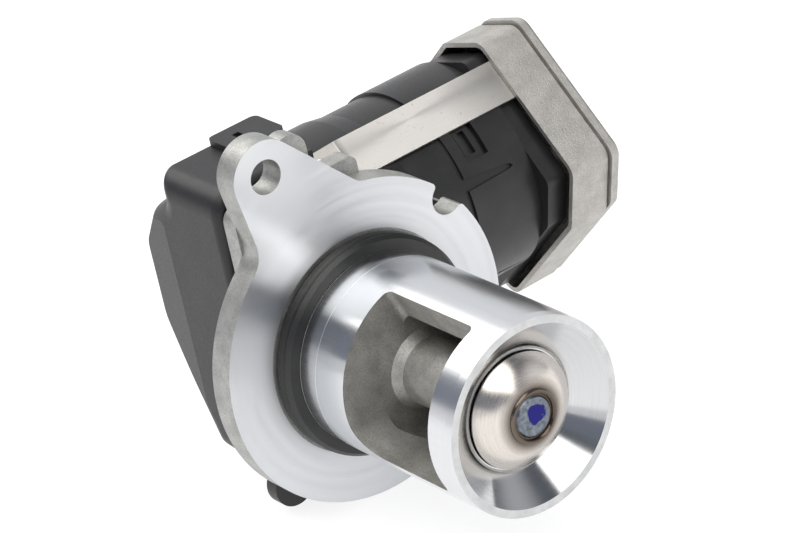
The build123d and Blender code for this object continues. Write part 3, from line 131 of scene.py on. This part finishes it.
class Nodes:
    """Small helper that adds and links nodes of one tree."""

    def __init__(self, tree, place):
        self.tree = tree
        self.place = self.add("ShaderNodeTexCoord").outputs[place]

    def add(self, kind, inputs=None, **props):
        node = self.tree.nodes.new(kind)
        for key, value in props.items():
            setattr(node, key, value)
        for key, value in (inputs or {}).items():
            self.feed(node.inputs[key], value)
        return node

    def feed(self, socket, value):
        if isinstance(value, bpy.types.NodeSocket):
            self.tree.links.new(value, socket)
        elif isinstance(value, tuple) and len(value) == 3 and socket.type == "RGBA":
            socket.default_value = (*value, 1.0)
        else:
            socket.default_value = value

    def math(self, operation, a, b=0.0, clamp=False):
        return self.add("ShaderNodeMath", {0: a, 1: b}, operation=operation, use_clamp=clamp).outputs[0]

    def vector(self, operation, a, b=(0.0, 0.0, 0.0)):
        node = self.add("ShaderNodeVectorMath", {0: a, 1: b}, operation=operation)
        return node.outputs[0]

    def split(self, socket=None):
        return self.add("ShaderNodeSeparateXYZ", {0: socket or self.place}).outputs

    def join(self, x, y, z):
        return self.add("ShaderNodeCombineXYZ", {0: x, 1: y, 2: z}).outputs[0]

    def noise(self, scale, detail=3.0, rough=0.5, place=None):
        place = place or self.place
        inputs = {"Vector": place, "Scale": scale, "Detail": detail, "Roughness": rough}
        return self.add("ShaderNodeTexNoise", inputs).outputs["Fac"]

    def ramp(self, fac, *stops):
        node = self.add("ShaderNodeValToRGB", {0: fac})
        band = node.color_ramp
        while len(band.elements) < len(stops):
            band.elements.new(0.5)
        for element, (at, colour) in zip(band.elements, stops):
            element.position = at
            if not isinstance(colour, tuple):
                colour = (colour, colour, colour)
            element.color = (*colour, 1.0)
        return node.outputs[0]

    def span(self, value, low, high, to_low=0.0, to_high=1.0):
        node = self.add("ShaderNodeMapRange", {0: value, 1: low, 2: high, 3: to_low, 4: to_high})
        return node.outputs[0]

    def fade(self, value, places):
        """0 at the first of two places given in millimetres, 1 at the second."""
        start, full = places
        return self.span(value, start * MM, full * MM)

    def mix(self, fac, a, b):
        node = self.add("ShaderNodeMix", {0: fac, 6: a, 7: b}, data_type="RGBA")
        return node.outputs[2]

    def bump(self, height, strength, distance, normal=None):
        inputs = {"Height": height, "Strength": strength, "Distance": distance}
        if normal:
            inputs["Normal"] = normal
        return self.add("ShaderNodeBump", inputs).outputs[0]


class Graph(Nodes):
    """Nodes of one material round a principled shader."""

    def __init__(self, name, **sockets):
        self.material = new_material(name)
        super().__init__(self.material.node_tree, "Object")
        self.shader = self.add("ShaderNodeBsdfPrincipled")
        output = self.add("ShaderNodeOutputMaterial")
        self.tree.links.new(self.shader.outputs[0], output.inputs[0])
        for key, value in sockets.items():
            self.set(key.replace("_", " "), value)

    def set(self, name, value):
        match = [s for s in self.shader.inputs if s.name.lower() == name.lower()][0]
        self.feed(match, value)

    def about_valve(self):
        """Radius from the valve axis, angle about it and place along it."""
        x, y, z = self.split()
        return self.length(x, z), self.math("ARCTAN2", z, x), y

    def length(self, x, z):
        squares = self.math("ADD", self.math("MULTIPLY", x, x), self.math("MULTIPLY", z, z))
        return self.math("SQRT", squares)

    def grooves(self, across, fineness, angle, drift, detail=2.0, rough=0.6, seed=0.0):
        """Tool marks: noise that changes fast across the marks and slowly round the axis."""
        fast = self.math("MULTIPLY", across, fineness)
        slow = self.math("MULTIPLY", angle, drift)
        return self.noise(1.0, detail, rough, place=self.join(fast, slow, seed))

    def radial(self):
        """Direction away from the valve axis."""
        return self.vector("NORMALIZE", self.vector("MULTIPLY", self.place, (1.0, 0.0, 1.0)))


# Metals

def turned_face():
    """Flange face: turned rings with bow-tie reflections."""
    g = Graph("turned_face", Metallic=1.0, Anisotropic=1.0, Roughness=0.32)
    radius, angle, _ = g.about_valve()
    rings = g.grooves(radius, 5200.0, angle, 0.0)
    broad = g.grooves(radius, 700.0, angle, 0.8, rough=0.5)
    tone = g.mix(g.math("MULTIPLY", rings, 0.35), (0.74, 0.755, 0.775), (0.56, 0.575, 0.595))
    g.set("Base Color", g.mix(g.math("MULTIPLY", broad, 0.35), tone, (0.64, 0.655, 0.675)))
    g.set("Roughness", g.span(broad, 0.3, 0.7, 0.28, 0.35))
    g.set("Normal", g.bump(rings, 0.12, 0.00003))
    g.set("Tangent", g.radial())
    return g.material


def glint_ring(g, along, at):
    """1 within a fine line round the snout, at the edge of a small step of its land, where the colour is
    brightened as a painted highlight.
    """
    off = g.math("ABSOLUTE", g.math("SUBTRACT", along, at * MM))
    return g.fade(off, (0.16, 0.06))


def turned_snout():
    """Outside of the snout: turned, with faint rings and scratches along it, and thin painted highlights
    round it at the step edges of its land.
    """
    g = Graph("turned_snout", Metallic=1.0, Anisotropic=0.8, Roughness=0.2)
    _, angle, along = g.about_valve()
    rings = g.grooves(along, 6500.0, angle, 1.5)
    drawn = g.grooves(along, 60.0, angle, 70.0, detail=3.0, rough=0.65, seed=3.0)
    scuff = g.ramp(drawn, (0.52, 0.0), (0.68, 1.0))
    tone = g.mix(g.math("MULTIPLY", rings, 0.3), (0.70, 0.71, 0.73), (0.54, 0.555, 0.575))
    # Painted highlight: near-white lines at the step edges of the land, which are also made rougher.
    painted_glints = g.math("ADD", *(glint_ring(g, along, at) for at in SNOUT_GLINT_EDGES), clamp=True)
    scuffed = g.mix(g.math("MULTIPLY", scuff, 0.15), tone, (0.52, 0.53, 0.56))
    g.set("Base Color", g.mix(painted_glints, scuffed, (0.95, 0.95, 0.95)))
    polish = g.span(scuff, 0.0, 1.0, 0.19, 0.24)
    g.set("Roughness", g.math("ADD", polish, g.math("MULTIPLY", painted_glints, 0.35)))
    g.set("Normal", g.bump(rings, 0.15, 0.00003))
    g.set("Tangent", (0.0, 1.0, 0.0))
    return g.material


def turned_cone():
    """Inside of the mouth: finely turned and nearly a mirror."""
    g = Graph("turned_cone", Metallic=1.0, Anisotropic=0.7, Roughness=0.16)
    radius, angle, _ = g.about_valve()
    rings = g.grooves(radius, 7000.0, angle, 1.0)
    g.set("Base Color", g.mix(rings, (0.66, 0.66, 0.67), (0.54, 0.55, 0.56)))
    g.set("Roughness", g.span(rings, 0.3, 0.7, 0.12, 0.2))
    g.set("Normal", g.bump(rings, 0.1, 0.00002))
    g.set("Tangent", g.radial())
    return g.material


def cast_metal(name, light, dark, grain=0.55, rough=0.5):
    """Shot-blasted casting: fine grain, soft mottling and small pits."""
    g = Graph(name, Metallic=0.9)
    fine = g.noise(3400.0, 3.0, 0.6)
    soft = g.noise(260.0, 3.0, 0.55)
    pits = g.add("ShaderNodeTexVoronoi", {"Vector": g.place, "Scale": 1900.0}).outputs["Distance"]
    tone = g.mix(g.span(soft, 0.35, 0.65), dark, light)
    speckle = g.math("MULTIPLY", g.span(fine, 0.45, 0.75), grain)
    g.set("Base Color", g.mix(speckle, tone, tuple(0.55 * c for c in dark)))
    g.set("Roughness", g.span(fine, 0.3, 0.7, rough - 0.07, rough + 0.1))
    coarse = g.bump(g.span(pits, 0.0, 0.5), 0.22, 0.00010)
    g.set("Normal", g.bump(fine, 0.5, 0.0001, coarse))
    return g.material


def poppet_steel():
    """Poppet: turned dome, with brown heat marks round the weld of the stem."""
    g = Graph("poppet_steel", Metallic=1.0, Anisotropic=0.6, Roughness=0.25)
    radius, angle, _ = g.about_valve()
    rings = g.grooves(radius, 4200.0, angle, 1.2)
    base = g.mix(rings, (0.78, 0.73, 0.68), (0.62, 0.58, 0.54))
    heat = g.ramp(g.fade(radius, HEAT_R), (0.0, 1.0), (0.40, 0.85), (1.0, 0.0))
    g.set("Base Color", g.mix(g.math("MULTIPLY", heat, 0.95), base, (0.06, 0.038, 0.022)))
    g.set("Roughness", g.span(rings, 0.3, 0.7, 0.21, 0.30))
    g.set("Normal", g.bump(rings, 0.12, 0.00003))
    g.set("Tangent", g.radial())
    return g.material


def stem_steel():
    """Stem, with the heat tint and the paint dot on its riveted end."""
    g = Graph("stem_steel", Roughness=0.36, Specular_IOR_Level=0.15)
    _, _, along = g.about_valve()
    x, _, z = g.split()
    grain = g.noise(2600.0, 3.0, 0.6)
    patch = g.noise(900.0, 4.0, 0.6)
    end_face = g.fade(along, STEM_END_Y)
    tint = g.mix(g.span(patch, 0.35, 0.65), (0.10, 0.12, 0.15), (0.24, 0.26, 0.29))
    steel = g.mix(grain, (0.62, 0.61, 0.60), (0.50, 0.49, 0.48))
    body = g.mix(end_face, steel, tint)
    off = [g.math("SUBTRACT", along_axis, at * MM) for along_axis, at in zip((x, z), DOT_AT)]
    wobble = g.math("SUBTRACT", g.noise(620.0, 2.0, 0.5), 0.5)
    reach = g.math("ADD", g.length(*off), g.math("MULTIPLY", wobble, DOT_WOBBLE * MM))
    dot = g.math("MULTIPLY", g.fade(reach, DOT_R), end_face)
    g.set("Base Color", g.mix(dot, body, (0.010, 0.010, 0.17)))
    g.set("Metallic", g.span(dot, 0.0, 1.0, 1.0, 0.0))
    g.set("Normal", g.bump(patch, 0.3, 0.00008))
    return g.material


def strap_steel():
    """Brushed band with faint specks, and painted shade that darkens it towards both ends, the cap end
    and the bend.
    """
    g = Graph("strap_steel", Metallic=1.0, Anisotropic=0.45, Roughness=0.42)
    x, _, _ = g.split()
    brush = g.noise(1.0, 4.0, 0.65, place=g.vector("MULTIPLY", g.place, (260.0, 5200.0, 5200.0)))
    speck = g.ramp(g.noise(1500.0, 2.0, 0.5), (0.66, 0.0), (0.74, 1.0))
    tone = g.mix(g.math("MULTIPLY", brush, 0.5), (0.88, 0.85, 0.81), (0.70, 0.67, 0.63))
    # Painted shade: the strap's colour darkens towards the cap end and towards the bend near the flange.
    end_shade_mask = g.math("MAXIMUM", *(g.fade(x, places) for places in STRAP_PAINTED_SHADE_X))
    shade_painted_tone = g.mix(g.math("MULTIPLY", end_shade_mask, 0.8), tone, (0.22, 0.21, 0.20))
    g.set("Base Color", g.mix(g.math("MULTIPLY", speck, 0.4), shade_painted_tone, (0.34, 0.24, 0.15)))
    g.set("Roughness", g.span(brush, 0.3, 0.7, 0.38, 0.48))
    g.set("Normal", g.bump(brush, 0.15, 0.00003))
    g.set("Tangent", (1.0, 0.0, 0.0))
    return g.material


def plain_steel(name, light, dark, rough=0.32):
    """Plated, drawn or forged metal with a faint grain."""
    g = Graph(name, Metallic=1.0)
    grain = g.noise(2200.0, 4.0, 0.6)
    soft = g.noise(300.0, 2.0, 0.5)
    g.set("Base Color", g.mix(g.span(soft, 0.35, 0.65), light, dark))
    g.set("Roughness", g.span(grain, 0.3, 0.7, rough - 0.05, rough + 0.07))
    g.set("Normal", g.bump(grain, 0.2, 0.00003))
    return g.material


# Plastics and rubber

def moulded(name, light, dark, rough=0.48, grain=2600.0, fleck=0.25, shine=0.5):
    """Glass-filled moulding: fine spark-eroded grain with light flecks."""
    g = Graph(name, Specular_IOR_Level=shine)
    fine = g.noise(grain, 3.0, 0.6)
    soft = g.noise(140.0, 3.0, 0.5)
    flecks = g.ramp(g.noise(grain * 1.7, 2.0, 0.5), (0.60, 0.0), (0.74, 1.0))
    tone = g.mix(g.span(soft, 0.35, 0.65), dark, light)
    fleck_tone = tuple(2.6 * c for c in light)
    g.set("Base Color", g.mix(g.math("MULTIPLY", flecks, fleck), tone, fleck_tone))
    g.set("Roughness", g.span(fine, 0.3, 0.7, rough - 0.06, rough + 0.08))
    g.set("Normal", g.bump(fine, 0.35, 0.00004))
    return g.material


# Finishes made by cast_metal, plain_steel and moulded: light tone, dark tone and what else they take

CASTINGS = {
    "end_face": ((0.66, 0.665, 0.67), (0.54, 0.545, 0.55), {"grain": 0.25, "rough": 0.36}),
    "cast_side": ((0.47, 0.47, 0.455), (0.36, 0.36, 0.35), {}),
    # Chamber inside the snout: the same casting, its tone set lighter than the outer sides as painted
    # bounce light in the shaded window
    "cast_chamber_painted_light": ((0.55, 0.54, 0.51), (0.40, 0.39, 0.37), {"grain": 0.7, "rough": 0.55}),
    "cast_cap": ((0.54, 0.52, 0.495), (0.44, 0.425, 0.40), {"grain": 0.45, "rough": 0.50}),
}

STEELS = {
    "spring_steel": ((0.55, 0.55, 0.56), (0.44, 0.44, 0.46), {}),
    "plated_steel": ((0.62, 0.62, 0.60), (0.50, 0.50, 0.49), {"rough": 0.28}),
    "forged_steel": ((0.36, 0.36, 0.37), (0.28, 0.28, 0.29), {"rough": 0.4}),
    "bronze": ((0.58, 0.40, 0.20), (0.46, 0.31, 0.15), {"rough": 0.38}),
    "copper": ((0.78, 0.40, 0.24), (0.62, 0.30, 0.17), {"rough": 0.3}),
}

MOULDINGS = {
    "ferrite": ((0.055, 0.055, 0.058), (0.035, 0.035, 0.037), {"rough": 0.6}),
    "cover_plastic": ((0.020, 0.020, 0.022), (0.015, 0.015, 0.017), {"rough": 0.42, "shine": 0.42}),
    "barrel_plastic": ((0.017, 0.017, 0.018), (0.011, 0.011, 0.012), {"rough": 0.36}),
    "gear_plastic": ((0.62, 0.60, 0.54), (0.54, 0.52, 0.47), {"rough": 0.4, "fleck": 0.0}),
    "board_green": ((0.03, 0.16, 0.07), (0.02, 0.11, 0.05), {"rough": 0.35, "fleck": 0.0}),
    "rubber": ((0.020, 0.020, 0.020), (0.012, 0.012, 0.012),
               {"rough": 0.36, "grain": 1500.0, "fleck": 0.1}),
}


def make_materials():
    own = (turned_face, turned_snout, turned_cone, poppet_steel, stem_steel, strap_steel)
    materials = {make.__name__: make() for make in own}
    for make, finishes in ((cast_metal, CASTINGS), (plain_steel, STEELS), (moulded, MOULDINGS)):
        for name, (light, dark, more) in finishes.items():
            materials[name] = make(name, light, dark, **more)
    return materials


NODE_MATERIAL = {
    "snout_seal_ring": "rubber",
    "seat_ring": "turned_cone",
    "poppet": "poppet_steel",
    "valve_stem": "stem_steel",
    "guide_bush": "bronze",
    "stem_seal": "rubber",
    "return_spring": "spring_steel",
    "spring_seat": "spring_steel",
    "stem_yoke": "forged_steel",
    "crank_shaft": "forged_steel",
    "sector_gear": "gear_plastic",
    "sensor_magnet": "ferrite",
    "intermediate_gear": "gear_plastic",
    "gear_pin": "spring_steel",
    "bearing_plate": "plated_steel",
    "crank_bush": "bronze",
    "plate_screws": "plated_steel",
    "motor_pinion": "bronze",
    "motor_can": "plated_steel",
    "motor_magnets": "ferrite",
    "rotor_core": "ferrite",
    "rotor_windings": "copper",
    "motor_shaft": "spring_steel",
    "commutator": "copper",
    "brush_card": "gear_plastic",
    "motor_front_bush": "bronze",
    "motor_rear_bush": "bronze",
    "gear_cover": "cover_plastic",
    "cover_gasket": "rubber",
    "gear_housing": "cover_plastic",
    "housing_gasket": "rubber",
    "housing_screws": "plated_steel",
    "sensor_board": "board_green",
    "connector_pins": "copper",
    "motor_housing": "barrel_plastic",
    "end_cap": "cast_cap",
    "cap_seal": "rubber",
    "cap_screws": "plated_steel",
    "retaining_strap": "strap_steel",
    "strap_screw": "plated_steel",
}


def casting_zone(centre, normal):
    """Which finish a face of the casting has, from its place in millimetres and its direction."""
    x, y, z = (c / MM for c in centre)
    radius = math.hypot(x, z)
    outward = (normal[0] * x + normal[2] * z) / max(radius, 1e-6)
    if abs(y) < 0.05 and normal[1] < -0.9:
        return "turned_face"
    if y < 0.01 and radius > SNOUT_R - 0.7 and outward > 0.9:
        return "turned_snout"
    if y < SNOUT_END + 0.3 and normal[1] < -0.9:
        return "end_face"
    if y < CONE_TOP_Y and radius > CONE_IN_R - 0.2 and outward < -0.2 and normal[1] < -0.2:
        return "turned_cone"
    if CHAMBER_Y[0] - 0.5 < y < CHAMBER_Y[1] + 0.3 and radius < SNOUT_R + 0.1:
        return "cast_chamber_painted_light"
    return "cast_side"


def dress_nodes(materials):
    for name, key in NODE_MATERIAL.items():
        mesh = NODES[name].data
        mesh.materials.clear()
        mesh.materials.append(materials[key])
    mesh = NODES["valve_body"].data
    zones = ["turned_face", "turned_snout", "turned_cone", "end_face", "cast_chamber_painted_light", "cast_side"]
    mesh.materials.clear()
    for zone in zones:
        mesh.materials.append(materials[zone])
    for face in mesh.polygons:
        face.material_index = zones.index(casting_zone(face.center, face.normal))


def make_spring():
    """Return spring as a piece of its own: a copy of the spring's mesh, hung on the housing body in
    place of the imported spring.
    """
    coil = bpy.data.objects.new("return_coil", NODES["return_spring"].data.copy())
    bpy.context.scene.collection.objects.link(coil)
    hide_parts("return_spring")
    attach(coil, "housing")
    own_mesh(coil)


# Studio

def make_floor():
    """Light table: a pale floor that glows a little, so the part throws hardly any shadow."""
    low = Vector(CAD_BOX[0])
    mesh = bpy.data.meshes.new("floor")
    shape = bmesh.new()
    bmesh.ops.create_grid(shape, x_segments=2, y_segments=2, size=FLOOR_HALF * MM)
    shape.to_mesh(mesh)
    floor = bpy.data.objects.new("floor", mesh)
    floor.location = (0.0, 0.0, low.z - FLOOR_GAP * MM)
    bpy.context.scene.collection.objects.link(floor)
    g = Graph("floor_paint", Roughness=0.9, Emission_Color=(1.0, 1.0, 1.0), Emission_Strength=FLOOR_GLOW)
    g.set("Base Color", g.mix(g.noise(4.0), (0.29, 0.29, 0.29), (0.27, 0.27, 0.27)))
    mesh.materials.append(g.material)


def make_lights():
    """Studio round the part: a long soft box in an arch over it, dim walls and a pale wall behind."""
    world = bpy.data.worlds.new("studio")
    world.use_nodes = True
    tree = world.node_tree
    tree.nodes.clear()
    n = Nodes(tree, "Generated")
    toward = n.place
    half = n.vector("NORMALIZE", n.vector("ADD", toward, CAMERA_BACK))
    half_x, _, half_z = n.split(half)
    turn = n.math("DEGREES", n.math("ARCTAN2", half_z, half_x))
    _, back, up = n.split(toward)

    def band(turns, softness):
        """1 between two turns, with a soft edge at each."""
        rise = n.math("DIVIDE", n.math("SUBTRACT", turn, turns[0]), softness[0], clamp=True)
        fall = n.math("DIVIDE", n.math("SUBTRACT", turns[1], turn), softness[1], clamp=True)
        return n.math("MULTIPLY", rise, fall)

    def patch(direction, fade):
        """0 and 1 at two angles from a direction, fading between them."""
        start, full = (math.cos(math.radians(angle)) for angle in fade)
        node = n.add("ShaderNodeVectorMath", {0: toward, 1: direction}, operation="DOT_PRODUCT")
        return n.span(node.outputs["Value"], start, full)

    behind = n.math("MULTIPLY", band(REAR_TURNS, REAR_SOFT), n.span(back, *REAR_DEPTH))
    walls = n.mix(behind, DIM_WALL, REAR_WALL)
    walls = n.mix(patch(FILL_TOWARD, FILL_FADE), walls, FILL_CARD)
    walls = n.mix(band(SIDE_TURNS, SIDE_SOFT), walls, SIDE_WALL)
    left = n.math("MAXIMUM", *(n.span(turn, start, full) for start, full in LEFT_EDGES))
    walls = n.mix(left, walls, LEFT_CARD)
    half_width = n.span(up, *KEY_HEIGHTS, *KEY_HALF_WIDTH)
    off = n.math("ABSOLUTE", n.math("SUBTRACT", turn, KEY_TURN))
    key = n.math("DIVIDE", n.math("SUBTRACT", half_width, off), KEY_SOFT, clamp=True)
    key = n.math("MULTIPLY", key, n.span(up, *KEY_FOOT))
    seen = n.add("ShaderNodeLightPath").outputs["Is Camera Ray"]
    colour = n.mix(seen, n.mix(key, walls, KEY_COLOUR), (1.0, 1.0, 1.0))
    lit = n.math("MULTIPLY", key, n.math("SUBTRACT", 1.0, seen))
    strength = n.span(lit, 0.0, 1.0, 1.0, KEY_LEVEL)
    light = n.add("ShaderNodeBackground", {"Color": colour, "Strength": strength})
    output = n.add("ShaderNodeOutputWorld")
    tree.links.new(light.outputs[0], output.inputs[0])
    bpy.context.scene.world = world


def make_camera():
    data = bpy.data.cameras.new("camera")
    data.lens = CAMERA_LENS
    data.sensor_width = 36.0
    data.sensor_fit = "HORIZONTAL"
    data.clip_start = 0.01
    camera = bpy.data.objects.new("camera", data)
    columns = zip(CAMERA_RIGHT, CAMERA_UP, CAMERA_BACK, CAMERA_AT)
    camera.matrix_world = Matrix([list(row) for row in columns] + [[0.0, 0.0, 0.0, 1.0]])
    bpy.context.scene.collection.objects.link(camera)
    bpy.context.scene.camera = camera


def main():
    scene = bpy.context.scene
    scene.view_settings.view_transform = "Standard"
    dress_nodes(make_materials())
    make_spring()
    make_floor()
    make_lights()
    make_camera()


main()
